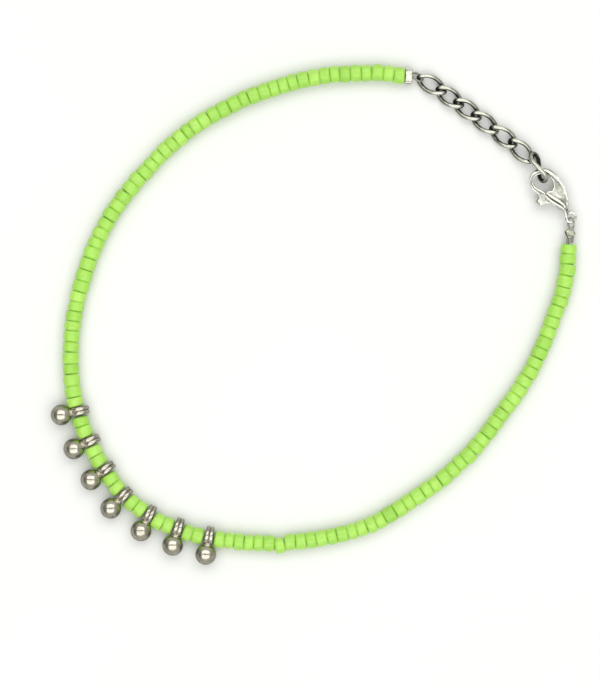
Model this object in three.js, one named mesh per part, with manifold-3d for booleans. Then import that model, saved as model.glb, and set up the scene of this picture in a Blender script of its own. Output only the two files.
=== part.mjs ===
// A beaded anklet that lies fastened in one closed loop on a flat surface: glass seed beads on a
// beading wire, seven ball charms, and a short twisted chain with a lobster clasp.
// Millimetres, +Z up. The origin is the middle of the anklet's box, at the surface it lies on.

import * as THREE from "three";
import { mergeVertices } from "three/addons/utils/BufferGeometryUtils.js";
import Module from "manifold-3d";

const wasm = await Module();
wasm.setup();

// Seed beads and the wire that they are strung on
const beadRadius = 1.5;
const beadLength = 1.9;
const grooveRadius = 1.28;
const beadShoulder = 0.24; // share of a bead's length from its end to its full radius
const beadSides = 10;
const threadRadius = 0.25;
const threadTail = 1.0;
const beadsBeforeCharms = 51;
const beadsBetweenCharms = 2;
const pieceGap = 0.1;
const joinTolerance = 0.004; // slivers that a join leaves and that are smaller are closed up

// The middle of the bead string, from the start crimp anticlockwise to the end crimp
const stringRoute = [
  [16.04, 42.65], [10.06, 43.1], [1.04, 42.54], [-7.39, 40.33], [-15.25, 37.2], [-22.4, 32.92],
  [-28.56, 27.33], [-34.09, 20.97], [-38.7, 13.59], [-41.72, 5.18], [-43.45, -4.0], [-43.35, -12.3],
  [-41.65, -19.5], [-38.6, -26.0], [-34.24, -32.2], [-28.2, -36.8], [-21.6, -39.3], [-15.75, -40.4],
  [-7.79, -40.86], [1.04, -40.06], [9.23, -37.9], [16.36, -33.9], [22.81, -29.27], [28.49, -24.04],
  [33.22, -17.91], [37.86, -11.29], [41.51, -3.57], [44.6, 5.27], [45.42, 12.5],
];

// Ball charms, each on a ring round the wire
const ballRadius = 1.85;
const ballSides = 12;
const ballBands = 8;
const charmReach = 5.1; // from the ball's middle to the ring's far side
const charmRingRadius = 1.7;
const charmRingWire = 0.62;
const charmRingWidth = 1.5;
const charmTipWidth = 1.1;
const charmRingSteps = 13;
// The ring's section, as shares of its depth from the inside and of its width from the middle
const charmRingSection = [
  [0, -0.36], [0.5, -0.5], [0.95, -0.34], [0.72, 0], [0.95, 0.34], [0.5, 0.5], [0, 0.36],
];
const charmSideGap = 0.22; // between the ring and the bead on either side
const charmSlot = charmRingWidth + 2 * charmSideGap;
const charmNeckRadius = 0.7;
const charmNeckSides = 10;
const charmNeckHold = 0.36; // how far the neck reaches into the ball and into the ring
// How far each ring's middle lies inside the wire, and how far each charm leans, in degrees
const charmSettings = [
  { inset: 0.4, lean: -4 },
  { inset: 0.45, lean: 0 },
  { inset: 0.4, lean: 4 },
  { inset: 0.15, lean: 0 },
  { inset: 0.35, lean: 5 },
  { inset: 0.45, lean: 1 },
  { inset: 0.4, lean: 0 },
];

// Flattened crimps
const startCrimp = { length: 1.3, width: 2.6, height: 1.1, bevel: 0.2, turn: 0 };
const endCrimp = { length: 1.2, width: 1.7, height: 0.95, bevel: 0.18, turn: 30 };

// Twisted chain links
const linkWireRadius = 0.39;
const linkLength = 6.05;
const linkWidth = 3.4;
const linkTwist = -50;
const linkSteps = 18;
const linkWireSides = 6;
// Where each link's middle lies, and how it is turned, pitched and rolled, in degrees
const linkPlaces = [
  { x: 20.91, y: 41.05, z: 0.965, heading: -29, pitch: 0, roll: 0 },
  { x: 24.16, y: 38.81, z: 0.965, heading: -35, pitch: 0, roll: 0 },
  { x: 27.29, y: 36.58, z: 0.965, heading: -35, pitch: 0, roll: 0 },
  { x: 30.42, y: 34.26, z: 0.965, heading: -36, pitch: 0, roll: 0 },
  { x: 33.63, y: 31.88, z: 1.1, heading: -36, pitch: 0, roll: 14 },
  { x: 36.82, y: 29.28, z: 1.115, heading: -43.7, pitch: 1, roll: 10 },
  { x: 39.99, y: 26.22, z: 1.745, heading: -66.1, pitch: -1.3, roll: 98.2 },
];

// Beading wire loops that hold the chain and the clasp
const loopWireRadius = 0.19;
const loopHalfWidth = 0.8;
const loopRootHalfWidth = 0.3;
const loopShoulder = { place: 0.5, width: 0.85 }; // shares of the loop's length and half width
const loopSteps = 16;
const loopBendSteps = 7;
const loopWireSides = 6;
const loopRootGap = 0.3;
const endLoopRootGap = 0.45;
const endLoopRoll = -55;

// Lobster clasp, in its own frame: u runs from the eye to the hook's bend, v to the lever's side
const claspEye = [45.69, 17.29];
const claspMiddleHeight = 1.635;
const claspHeading = 121.2;
const claspLength = 10.45;
const claspWidth = 4.4;
const claspThickness = 2.8;
const claspHookThickness = 0.85;
const claspBevel = 0.3;
const bevelSlope = 0.8; // how far a bevel reaches sideways, as a share of its depth
const eyeRadius = 1.15;
const eyeWire = 0.55;
const eyeFlatness = 1.1; // the eye's thickness as a share of its wire's width
const eyeWireSides = 8;
const eyeSteps = 16;
const claspNeckRadius = 0.34;
const claspNeckRootRadius = 0.5;
const claspNeckRoot = 0.2; // share of the clasp's length at which the neck ends in the body
const claspNeckSides = 8;
const slotGap = 0.15;
const leverThickness = 1.2;
const leverBevel = 0.2;
const pinRadius = 0.35;
const pinSides = 12;
const pinGap = 0.1;
const pivot = [0.44, 0.34]; // shares of the clasp's length and width, as the outlines below

// The clasp seen from its side: shares of its length, and of half its thickness at the cheeks
const cheekSide = [[0, 0.45], [0.12, 0.6], [0.25, 0.95], [0.4, 1], [0.58, 1], [0.7, 0.8]];
// The same over the hook, as shares of half the hook's thickness
const hookSide = [[0.85, 1.15], [1.05, 1]];

// Outlines as shares of the clasp's length and width, [u, v]
const hookOuter = [
  [0.16, -0.06], [0.27, -0.27], [0.4, -0.386], [0.545, -0.45], [0.69, -0.425], [0.823, -0.377],
  [0.911, -0.266], [0.975, -0.09], [1.0, 0.12], [1.0, 0.316], [0.98, 0.5], [0.945, 0.62],
];
const hookInner = [
  [0.898, 0.63], [0.909, 0.496], [0.914, 0.341], [0.908, 0.185], [0.885, 0.03], [0.84, -0.06],
  [0.77, -0.12], [0.685, -0.13], [0.6, -0.05], [0.56, 0.08],
];
const cheekOuter = [
  [0.6, 0.33], [0.578, 0.5], [0.545, 0.55], [0.468, 0.466], [0.35, 0.352], [0.212, 0.168],
  [0.15, 0.08],
];
const leverArm = [
  [0.889, 0.54], [0.826, 0.58], [0.74, 0.545], [0.66, 0.43], [0.594, 0.315], [0.5, 0.17],
  [0.4, 0.17], [0.36, 0.3],
];
const leverOuter = [
  [0.38, 0.43], [0.43, 0.6], [0.425, 0.76], [0.468, 0.89], [0.552, 0.915], [0.586, 0.77],
  [0.6, 0.64], [0.64, 0.655], [0.75, 0.745], [0.845, 0.73], [0.88, 0.64],
];
const slotOutline = [
  [0.3, -0.02], [0.46, 0.0], [0.62, 0.1], [0.75, 0.3], [0.75, 0.8], [0.4, 1.1], [0.3, 0.6],
];

// Materials
const beadGlass = new THREE.MeshStandardMaterial({ color: 0xb0f060, roughness: 0.45, metalness: 0 });
const antiqueSilver = new THREE.MeshStandardMaterial({ color: 0x96907f, roughness: 0.32, metalness: 1 });
const brightSilver = new THREE.MeshStandardMaterial({ color: 0xc9c9c4, roughness: 0.2, metalness: 1 });
const wireCoat = new THREE.MeshStandardMaterial({ color: 0x6f7072, roughness: 0.4, metalness: 0.5 });

const up = new THREE.Vector3(0, 0, 1);
const turn = THREE.MathUtils.degToRad;

// Joins rings of points into one closed body. A loop's last ring is joined to its first.
function loft(rings, isLoop) {
  const sides = rings[0].length;
  const positions = rings.flat().flatMap((point) => point.toArray());
  const bands = isLoop ? rings.length : rings.length - 1;
  const indices = [];
  for (let band = 0; band < bands; band += 1) {
    const here = band * sides;
    const next = ((band + 1) % rings.length) * sides;
    for (let side = 0; side < sides; side += 1) {
      const other = (side + 1) % sides;
      indices.push(here + side, here + other, next + other);
      indices.push(here + side, next + other, next + side);
    }
  }
  if (!isLoop) {
    const last = bands * sides;
    for (let side = 1; side < sides - 1; side += 1) {
      indices.push(0, side + 1, side);
      indices.push(last, last + side, last + side + 1);
    }
  }
  const geometry = new THREE.BufferGeometry();
  geometry.setAttribute("position", new THREE.Float32BufferAttribute(positions, 3));
  geometry.setIndex(indices);
  geometry.computeVertexNormals();
  return geometry;
}

// A ring of points round a centre. Across, over and the way along are a right-handed set.
function circle(centre, across, over, radius, sides) {
  return Array.from({ length: sides }, (_, side) => {
    const angle = (side / sides) * 2 * Math.PI;
    return centre.clone()
      .addScaledVector(across, radius * Math.cos(angle))
      .addScaledVector(over, radius * Math.sin(angle));
  });
}

// A round wire along a list of points, with a side direction that the wire's path lies across.
function wireAlong(path, sideways, radius, sides, isLoop) {
  const rings = path.map((point, index) => {
    const before = path[isLoop ? (index + path.length - 1) % path.length : Math.max(index - 1, 0)];
    const after = path[isLoop ? (index + 1) % path.length : Math.min(index + 1, path.length - 1)];
    const along = after.clone().sub(before).normalize();
    const over = along.clone().cross(sideways(index)).normalize();
    const across = over.clone().cross(along);
    return circle(point, across, over, radius, sides);
  });
  return loft(rings, isLoop);
}

// A round rod or cone along X, from one place and radius to another
function rodAlongX(from, fromRadius, to, toRadius, sides) {
  const across = new THREE.Vector3(0, 1, 0);
  return loft([
    circle(new THREE.Vector3(from, 0, 0), across, up, fromRadius, sides),
    circle(new THREE.Vector3(to, 0, 0), across, up, toRadius, sides),
  ], false);
}

function toSolid(geometry) {
  const plain = geometry.clone();
  plain.deleteAttribute("normal");
  plain.deleteAttribute("uv");
  const merged = mergeVertices(plain, 1e-4);
  return new wasm.Manifold(new wasm.Mesh({
    numProp: 3,
    vertProperties: new Float32Array(merged.attributes.position.array),
    triVerts: new Uint32Array(merged.index.array),
  }));
}

function toGeometry(solid) {
  const mesh = solid.simplify(joinTolerance).getMesh();
  const geometry = new THREE.BufferGeometry();
  geometry.setAttribute("position", new THREE.Float32BufferAttribute(mesh.vertProperties, 3));
  geometry.setIndex(new THREE.Uint32BufferAttribute(mesh.triVerts, 1));
  geometry.computeVertexNormals();
  return geometry;
}

function named(name, geometry, material) {
  const mesh = new THREE.Mesh(geometry, material);
  mesh.name = name;
  return mesh;
}

// Bead string, lying on the flats of its beads
const stringHeight = beadRadius * Math.cos(Math.PI / beadSides);
const route = new THREE.CatmullRomCurve3(
  stringRoute.map(([x, y]) => new THREE.Vector3(x, y, stringHeight)), false, "catmullrom", 0.5,
);
route.arcLengthDivisions = 2000;
const routeLength = route.getLength();

// The string as a list of beads and of charm rings, with each one's place along the route
function stringStations() {
  const stations = [];
  let place = 0;
  const add = (kind, length) => {
    stations.push({ kind, from: place, to: place + length });
    place += length;
  };
  for (let bead = 0; bead < beadsBeforeCharms; bead += 1) add("bead", beadLength);
  charmSettings.forEach((_, charm) => {
    add("charm", charmSlot);
    const isLast = charm === charmSettings.length - 1;
    for (let bead = 0; !isLast && bead < beadsBetweenCharms; bead += 1) add("bead", beadLength);
  });
  const rest = routeLength - place;
  const restBeads = Math.round(rest / beadLength);
  for (let bead = 0; bead < restBeads; bead += 1) add("bead", rest / restBeads);
  return stations;
}

function routeFrame(place) {
  const share = THREE.MathUtils.clamp(place / routeLength, 0, 1);
  const along = route.getTangentAt(share);
  const point = route.getPointAt(share).addScaledVector(along, Math.max(place - routeLength, 0));
  return { point, along, across: up.clone().cross(along) };
}

function stringRing(place, radius) {
  const { point, across } = routeFrame(place);
  return circle(point, across, up, radius, beadSides);
}

function beadString(stations, tail) {
  const rings = [];
  stations.forEach(({ kind, from, to }, index) => {
    const shoulder = (to - from) * beadShoulder;
    if (kind === "bead") {
      rings.push(stringRing(from, grooveRadius));
      rings.push(stringRing(from + shoulder, beadRadius), stringRing(to - shoulder, beadRadius));
      const next = stations[index + 1];
      if (!next || next.kind === "charm") rings.push(stringRing(to, grooveRadius));
    } else {
      rings.push(stringRing(from, threadRadius), stringRing(to, threadRadius));
    }
  });
  if (tail > 0) {
    const end = stations.at(-1).to;
    rings.push(stringRing(end, threadRadius), stringRing(end + tail, threadRadius));
  }
  return loft(rings, false);
}

// Ball charm, with its ball at the origin, its ring's far side along +X and the wire along Y
function charmGeometry() {
  const ringMiddle = charmReach - charmRingRadius;
  const drop = charmRingRadius - ballRadius;
  const rings = Array.from({ length: charmRingSteps }, (_, step) => {
    const angle = (step / charmRingSteps) * 2 * Math.PI;
    const outward = new THREE.Vector3(Math.cos(angle), 0, Math.sin(angle));
    const tipShare = (1 + Math.cos(angle)) / 2;
    const width = THREE.MathUtils.lerp(charmRingWidth, charmTipWidth, tipShare);
    return charmRingSection.map(([depth, side]) => {
      const radius = charmRingRadius - charmRingWire + depth * charmRingWire;
      return new THREE.Vector3(ringMiddle, side * width, drop).addScaledVector(outward, radius);
    });
  });
  const ball = new THREE.SphereGeometry(ballRadius, ballSides, ballBands);
  const neckFrom = ballRadius - charmNeckHold;
  const neckTo = ringMiddle - charmRingRadius + charmNeckHold;
  const neck = rodAlongX(neckFrom, charmNeckRadius, neckTo, charmNeckRadius, charmNeckSides);
  return toGeometry(toSolid(ball).add(toSolid(neck)).add(toSolid(loft(rings, true))));
}

function charm(number, station, { inset, lean }) {
  const { point, across } = routeFrame((station.from + station.to) / 2);
  const toRing = across.clone().applyAxisAngle(up, turn(lean));
  const mesh = named(`charm_${number}`, charmGeometry(), antiqueSilver);
  mesh.position.copy(point).addScaledVector(across, inset)
    .addScaledVector(toRing, charmRingRadius - charmReach).setZ(ballRadius);
  mesh.rotation.z = Math.atan2(toRing.y, toRing.x);
  return mesh;
}

// Crimp, as a flattened tube with bevelled edges, along X
function crimp(name, { length, width, height, bevel, turn: slant }, middle, heading) {
  const shape = new THREE.Shape();
  const halfLength = length / 2 - bevel;
  const halfWidth = width / 2 - bevel;
  shape.moveTo(-halfLength, -halfWidth);
  shape.lineTo(halfLength, -halfWidth);
  shape.lineTo(halfLength, halfWidth);
  shape.lineTo(-halfLength, halfWidth);
  const geometry = new THREE.ExtrudeGeometry(shape, {
    depth: height - 2 * bevel, bevelThickness: bevel, bevelSize: bevel, bevelSegments: 2,
  });
  geometry.translate(0, 0, bevel - height / 2);
  const mesh = named(name, geometry, brightSilver);
  mesh.position.copy(middle);
  mesh.rotation.z = heading + turn(slant);
  return mesh;
}

// Twisted link, lying along X
function linkGeometry() {
  const halfLength = linkLength / 2 - linkWireRadius;
  const halfWidth = linkWidth / 2 - linkWireRadius;
  const path = Array.from({ length: linkSteps }, (_, step) => {
    const angle = (step / linkSteps) * 2 * Math.PI;
    const twist = turn(linkTwist) * Math.cos(angle);
    const side = halfWidth * Math.sin(angle);
    return new THREE.Vector3(
      halfLength * Math.cos(angle), side * Math.cos(twist), side * Math.sin(twist),
    );
  });
  const outward = (index) => path[index].clone().normalize();
  return wireAlong(path, outward, linkWireRadius, linkWireSides, true);
}

function chainLink(number, { x, y, z, heading, pitch, roll }) {
  const mesh = named(`chain_link_${number}`, linkGeometry(), antiqueSilver);
  mesh.position.set(x, y, z);
  mesh.rotation.set(turn(roll), turn(pitch), turn(heading), "ZYX");
  return mesh;
}

// Wire loop from a crimp's face round another wire's middle
function wireLoop(name, root, held, roll) {
  const along = held.clone().sub(root);
  const reach = along.length();
  along.normalize();
  const flat = up.clone().cross(along).normalize();
  const side = flat.clone().applyAxisAngle(along, roll);
  const place = (distance, offset) => root.clone()
    .addScaledVector(along, distance).addScaledVector(side, offset);
  const shoulder = reach * loopShoulder.place;
  const shoulderHalf = loopHalfWidth * loopShoulder.width;
  const path = [place(0, loopRootHalfWidth), place(shoulder, shoulderHalf)];
  for (let step = 0; step <= loopBendSteps; step += 1) {
    const angle = Math.PI / 2 - (step / loopBendSteps) * Math.PI;
    path.push(place(reach + loopHalfWidth * Math.cos(angle), loopHalfWidth * Math.sin(angle)));
  }
  path.push(place(shoulder, -shoulderHalf), place(0, -loopRootHalfWidth));
  const curve = new THREE.CatmullRomCurve3(path, false, "catmullrom", 0.5);
  const over = along.clone().cross(side);
  const geometry = wireAlong(
    curve.getSpacedPoints(loopSteps), () => over, loopWireRadius, loopWireSides, false,
  );
  return named(name, geometry, wireCoat);
}

// Clasp
const claspPoint = ([u, v]) => new THREE.Vector2(u * claspLength, v * claspWidth);

function claspPlate(outline, thickness, bevel) {
  const shape = new THREE.Shape(outline.map(claspPoint));
  const geometry = new THREE.ExtrudeGeometry(shape, {
    depth: thickness - 2 * bevel, bevelThickness: bevel, bevelSize: bevel * bevelSlope,
    bevelOffset: -bevel * bevelSlope, bevelSegments: 2,
  });
  return geometry.translate(0, 0, bevel - thickness / 2);
}

// The clasp's thickness seen from its side, thick over the cheeks and thin at the eye and hook
function claspSide() {
  const profile = [
    ...cheekSide.map(([u, share]) => [u * claspLength, share * claspThickness / 2]),
    ...hookSide.map(([u, share]) => [u * claspLength, share * claspHookThickness / 2]),
  ];
  const shape = new THREE.Shape([
    ...profile.map(([along, height]) => new THREE.Vector2(along, height)),
    ...profile.toReversed().map(([along, height]) => new THREE.Vector2(along, -height)),
  ]);
  const width = 3 * claspWidth;
  const geometry = new THREE.ExtrudeGeometry(shape, { depth: width, bevelEnabled: false });
  return geometry.rotateX(Math.PI / 2).translate(0, width / 2, 0);
}

function pinGeometry(radius, length) {
  const [u, v] = claspPoint(pivot).toArray();
  return new THREE.CylinderGeometry(radius, radius, length, pinSides).rotateX(Math.PI / 2)
    .translate(u, v, 0);
}

function claspBodyGeometry() {
  const plate = toSolid(claspPlate([...hookOuter, ...hookInner, ...cheekOuter], claspThickness,
    claspBevel)).intersect(toSolid(claspSide()));
  const slot = toSolid(new THREE.ExtrudeGeometry(new THREE.Shape(slotOutline.map(claspPoint)), {
    depth: leverThickness + 2 * slotGap, bevelEnabled: false,
  }).translate(0, 0, -leverThickness / 2 - slotGap));
  const eyeRing = new THREE.TorusGeometry(eyeRadius - eyeWire / 2, eyeWire / 2, eyeWireSides, eyeSteps)
    .scale(1, 1, eyeFlatness);
  const neck = rodAlongX(eyeRadius - eyeWire / 2, claspNeckRadius, claspNeckRoot * claspLength,
    claspNeckRootRadius, claspNeckSides);
  const pin = pinGeometry(pinRadius, claspThickness - claspBevel);
  return toGeometry(plate.subtract(slot).add(toSolid(pin)).add(toSolid(eyeRing)).add(toSolid(neck)));
}

function claspLeverGeometry() {
  const plate = toSolid(claspPlate([...leverArm, ...leverOuter], leverThickness, leverBevel));
  return toGeometry(plate.subtract(toSolid(pinGeometry(pinRadius + pinGap, claspThickness))));
}

// Assembly
const anklet = new THREE.Group();
const stations = stringStations();
const charmStations = stations.filter(({ kind }) => kind === "charm");
const split = stations.indexOf(charmStations.at(-1)) + 2;
const rightStations = stations.slice(split);
rightStations[0].from += pieceGap;

anklet.add(named("bead_string_left", beadString(stations.slice(0, split), 0), beadGlass));
anklet.add(named("bead_string_right", beadString(rightStations, threadTail), beadGlass));
charmStations.forEach((station, index) => {
  anklet.add(charm(index + 1, station, charmSettings[index]));
});

const start = routeFrame(0);
const startMiddle = start.point.clone()
  .addScaledVector(start.along, -(startCrimp.length / 2 + pieceGap));
const startHeading = Math.atan2(start.along.y, start.along.x);
anklet.add(crimp("start_crimp", startCrimp, startMiddle, startHeading));

const end = routeFrame(routeLength);
const endMiddle = end.point.clone()
  .addScaledVector(end.along, threadTail + pieceGap + endCrimp.length / 2 + loopRootGap);
const endHeading = Math.atan2(end.along.y, end.along.x);
anklet.add(crimp("end_crimp", endCrimp, endMiddle, endHeading));

const links = linkPlaces.map((place, index) => chainLink(index + 1, place));
anklet.add(...links);

const clasp = new THREE.Group();
clasp.position.set(...claspEye, claspMiddleHeight);
clasp.rotation.z = turn(claspHeading);
clasp.add(named("clasp_body", claspBodyGeometry(), brightSilver));
clasp.add(named("clasp_lever", claspLeverGeometry(), brightSilver));
anklet.add(clasp);

const startRoot = startMiddle.clone()
  .addScaledVector(start.along, -(startCrimp.length / 2 + loopRootGap));
links[0].updateMatrixWorld(true);
const firstEnd = new THREE.Vector3(linkWireRadius - linkLength / 2, 0, 0)
  .applyMatrix4(links[0].matrixWorld);
anklet.add(wireLoop("start_wire_loop", startRoot, firstEnd, turn(-90 - linkTwist)));

const endRoot = endMiddle.clone().addScaledVector(end.along, endCrimp.length / 2 + endLoopRootGap);
const towardEye = clasp.position.clone().sub(endRoot).normalize();
const eyeRim = clasp.position.clone().addScaledVector(towardEye, eyeWire / 2 - eyeRadius);
anklet.add(wireLoop("end_wire_loop", endRoot, eyeRim, turn(endLoopRoll)));

// The anklet's box is centred on the origin, above the surface that it lies on
anklet.updateMatrixWorld(true);
const box = new THREE.Box3().setFromObject(anklet, true);
const middle = box.getCenter(new THREE.Vector3());
anklet.position.set(-middle.x, -middle.y, -box.min.z);

export default anklet;
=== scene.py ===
"""A beaded anklet lying fastened on a pale floor, seen from straight above."""
import bpy
import math
import random
from mathutils import Matrix, Vector, noise


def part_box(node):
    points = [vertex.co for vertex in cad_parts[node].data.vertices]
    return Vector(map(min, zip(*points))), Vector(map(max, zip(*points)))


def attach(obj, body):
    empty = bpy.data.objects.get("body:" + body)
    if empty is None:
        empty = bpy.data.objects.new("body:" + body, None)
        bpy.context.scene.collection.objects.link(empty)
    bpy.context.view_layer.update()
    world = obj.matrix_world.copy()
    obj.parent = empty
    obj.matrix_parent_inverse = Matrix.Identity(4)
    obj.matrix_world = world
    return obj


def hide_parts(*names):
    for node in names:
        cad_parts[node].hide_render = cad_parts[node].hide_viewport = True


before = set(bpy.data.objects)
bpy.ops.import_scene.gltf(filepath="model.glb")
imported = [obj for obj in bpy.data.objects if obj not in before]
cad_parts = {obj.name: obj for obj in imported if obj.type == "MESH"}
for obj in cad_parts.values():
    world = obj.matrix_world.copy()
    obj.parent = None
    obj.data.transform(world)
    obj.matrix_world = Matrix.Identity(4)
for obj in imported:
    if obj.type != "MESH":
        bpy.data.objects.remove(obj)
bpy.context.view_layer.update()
BODY = "anklet"
MM = 0.001

# Sizes as in the construction, in millimetres
BEAD_RADIUS = 1.5
BEAD_LENGTH = 1.9
BEAD_HOLE = 0.5
BEADS_BEFORE_CHARMS = 51
BEADS_BETWEEN_CHARMS = 2
CHARM_COUNT = 7
CHARM_SLOT = 1.94
PIECE_GAP = 0.1
START_CRIMP_LENGTH = 1.3

BALL_RADIUS = 1.85
CHARM_REACH = 5.1
# How far each charm leans from square across the string, in degrees
CHARM_LEANS = [-4, 0, 4, 0, 5, 1, 0]
RING_RADIUS = 1.7
RING_DEPTH = 0.62
RING_WIDTH = 1.6
RING_TIP_WIDTH = 1.36

LINK_WIRE_RADIUS = 0.39
LINK_LENGTH = 6.05
LINK_WIDTH = 3.4
LINK_TWIST = math.radians(-50)
# Each link's heading, pitch and roll in degrees, as in the construction
LINK_TURNS = [
    (-29, 0, 0), (-35, 0, 0), (-35, 0, 0), (-36, 0, 0), (-36, 0, 14), (-43.7, 1, 10),
    (-66.1, -1.3, 98.2),
]

# The middle of the bead string, from the start crimp anticlockwise to the end crimp
STRING_ROUTE = [
    (16.04, 42.65), (10.06, 43.1), (1.04, 42.54), (-7.39, 40.33), (-15.25, 37.2), (-22.4, 32.92),
    (-28.56, 27.33), (-34.09, 20.97), (-38.7, 13.59), (-41.72, 5.18), (-43.45, -4.0),
    (-43.35, -12.3), (-41.65, -19.5), (-38.6, -26.0), (-34.24, -32.2), (-28.2, -36.8),
    (-21.6, -39.3), (-15.75, -40.4), (-7.79, -40.86), (1.04, -40.06), (9.23, -37.9),
    (16.36, -33.9), (22.81, -29.27), (28.49, -24.04), (33.22, -17.91), (37.86, -11.29),
    (41.51, -3.57), (44.6, 5.27), (45.42, 12.5),
]

UP = Vector((0, 0, 1))
ROUTE_SPAN_STEPS = 60
# How far to each side a way along the route is read where it has to be close
SHORT_REACH = 0.05


def smooth_run(knots, steps):
    """A run of points or rows of numbers on a uniform Catmull-Rom curve through the knots."""
    knots = [knots[0] * 2 - knots[1], *knots, knots[-1] * 2 - knots[-2]]
    run = []
    for span in range(len(knots) - 3):
        before, start, end, after = knots[span:span + 4]
        leave = (end - before) * 0.5
        arrive = (after - start) * 0.5
        for step in range(steps):
            share = step / steps
            run.append(
                start + leave * share
                + (start * -3 + end * 3 - leave * 2 - arrive) * share ** 2
                + (start * 2 - end * 2 + leave + arrive) * share ** 3
            )
    run.append(knots[-2])
    return run


class Route:
    """A smooth curve through the route's points, read by length along it."""

    def __init__(self, points):
        self.samples = smooth_run(points, ROUTE_SPAN_STEPS)
        self.lengths = [0.0]
        for before, after in zip(self.samples, self.samples[1:]):
            self.lengths.append(self.lengths[-1] + (after - before).length)
        self.length = self.lengths[-1]

    def point(self, place):
        """The point at this length from the start, straight on beyond either end."""
        if place <= 0:
            return self.samples[0] + (self.samples[1] - self.samples[0]).normalized() * place
        if place >= self.length:
            end_way = (self.samples[-1] - self.samples[-2]).normalized()
            return self.samples[-1] + end_way * (place - self.length)
        low, high = 0, len(self.lengths) - 1
        while high - low > 1:
            middle = (low + high) // 2
            if self.lengths[middle] <= place:
                low = middle
            else:
                high = middle
        share = (place - self.lengths[low]) / (self.lengths[high] - self.lengths[low])
        return self.samples[low].lerp(self.samples[high], share)

    def along(self, place, reach=0.4):
        return (self.point(place + reach) - self.point(place - reach)).normalized()


def middle_of(node):
    low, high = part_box(node)
    return (Vector(low) + Vector(high)) / (2 * MM)


def frame_shift():
    """How far the construction's own frame was moved to centre its box on the origin."""
    flat = Route([Vector((x, y, 0)) for x, y in STRING_ROUTE])
    back = START_CRIMP_LENGTH / 2 + PIECE_GAP
    planned = flat.point(0) - flat.along(0, reach=0.02) * back
    shift = middle_of("start_crimp") - planned
    return Vector((shift.x, shift.y, 0))


SHIFT = frame_shift()
ROUTE = Route([Vector((x, y, BEAD_RADIUS)) + SHIFT for x, y in STRING_ROUTE])


# Mesh building

def new_object(name, data):
    made = bpy.data.objects.new(name, data)
    bpy.context.scene.collection.objects.link(made)
    return made


def finish_piece(piece, body, nodes=()):
    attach(piece, body)
    if nodes:
        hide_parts(*nodes)


def join_rings(rings, is_loop, first=0):
    """Faces between rings of points, and over the ends of a run that isn't a loop."""
    sides = len(rings[0])
    count = len(rings)
    faces = []
    for band in range(count if is_loop else count - 1):
        here = first + band * sides
        after = first + (band + 1) % count * sides
        for side in range(sides):
            other = (side + 1) % sides
            faces.append((here + side, here + other, after + other, after + side))
    if not is_loop:
        last = first + (count - 1) * sides
        faces.append(tuple(first + side for side in reversed(range(sides))))
        faces.append(tuple(last + side for side in range(sides)))
    return faces


def circle(centre, across, over, radius, sides):
    ring = []
    for side in range(sides):
        angle = side / sides * math.tau
        ring.append(centre + (across * math.cos(angle) + over * math.sin(angle)) * radius)
    return ring


def wire_rings(path, sideways, radius, sides, is_loop):
    """Rings round a path. Sideways gives a direction that stays off the path's own way."""
    count = len(path)
    rings = []
    for index, point in enumerate(path):
        before = path[(index - 1) % count] if is_loop else path[max(index - 1, 0)]
        after = path[(index + 1) % count] if is_loop else path[min(index + 1, count - 1)]
        way = (after - before).normalized()
        over = way.cross(sideways(index)).normalized()
        across = over.cross(way)
        rings.append(circle(point, across, over, radius, sides))
    return rings


def either_way(dice, reach):
    return dice.uniform(-reach, reach)


def noise_place(dice, reach):
    """A random place in the noise, so that no two bodies are dented or worn alike."""
    return Vector([dice.uniform(0, reach) for _ in range(3)])


class MeshParts:
    """Points, faces and point values gathered from many small bodies for one joined mesh."""

    def __init__(self, *keys):
        self.points = []
        self.faces = []
        self.values = {key: [] for key in keys}

    def add(self, rings, is_loop, **values):
        self.faces.extend(join_rings(rings, is_loop, len(self.points)))
        count = 0
        for ring in rings:
            self.points.extend(ring)
            count += len(ring)
        for key, store in self.values.items():
            value = values[key]
            store.extend(value if isinstance(value, list) else [value] * count)

    def piece(self, name, material, slot, nodes=()):
        """One smooth piece of all the bodies, from points in millimetres."""
        mesh = bpy.data.meshes.new(name)
        mesh.from_pydata([tuple(point * MM) for point in self.points], [], self.faces)
        mesh.validate()
        mesh.polygons.foreach_set("use_smooth", [True] * len(mesh.polygons))
        for key, values in self.values.items():
            layer = mesh.attributes.new(key, "FLOAT", "POINT")
            layer.data.foreach_set("value", values)
        mesh.materials.append(material)
        finish_piece(new_object(name, mesh), BODY, nodes)


# Materials

def new_material(name):
    material = bpy.data.materials.new(name)
    material.use_nodes = True
    tree = material.node_tree
    return material, tree, tree.nodes["Principled BSDF"]


def node(tree, kind, **inputs):
    made = tree.nodes.new(kind)
    for key, value in inputs.items():
        socket = made.inputs[key.replace("_", " ")]
        if isinstance(value, bpy.types.NodeSocket):
            tree.links.new(value, socket)
        else:
            socket.default_value = value
    return made


def noise_value(tree, scale, detail=4.0):
    place = tree.nodes.new("ShaderNodeTexCoord").outputs["Object"]
    made = node(tree, "ShaderNodeTexNoise", Vector=place, Scale=scale, Detail=detail,
                Roughness=0.55)
    return made.outputs["Fac"]


def ramp(tree, value, *stops):
    made = tree.nodes.new("ShaderNodeValToRGB")
    tree.links.new(value, made.inputs["Fac"])
    elements = made.color_ramp.elements
    while len(elements) < len(stops):
        elements.new(0.5)
    for element, (position, colour) in zip(elements, stops):
        element.position = position
        element.color = (*colour, 1.0)
    return made.outputs["Color"]


def grey(value):
    return (value, value, value)


def multiply(tree, first, second):
    made = tree.nodes.new("ShaderNodeMix")
    made.data_type = "RGBA"
    made.blend_type = "MULTIPLY"
    share, *colours = [socket for socket in made.inputs if socket.enabled]
    share.default_value = 1.0
    for socket, value in zip(colours, (first, second)):
        tree.links.new(value, socket)
    return next(socket for socket in made.outputs if socket.enabled)


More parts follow.
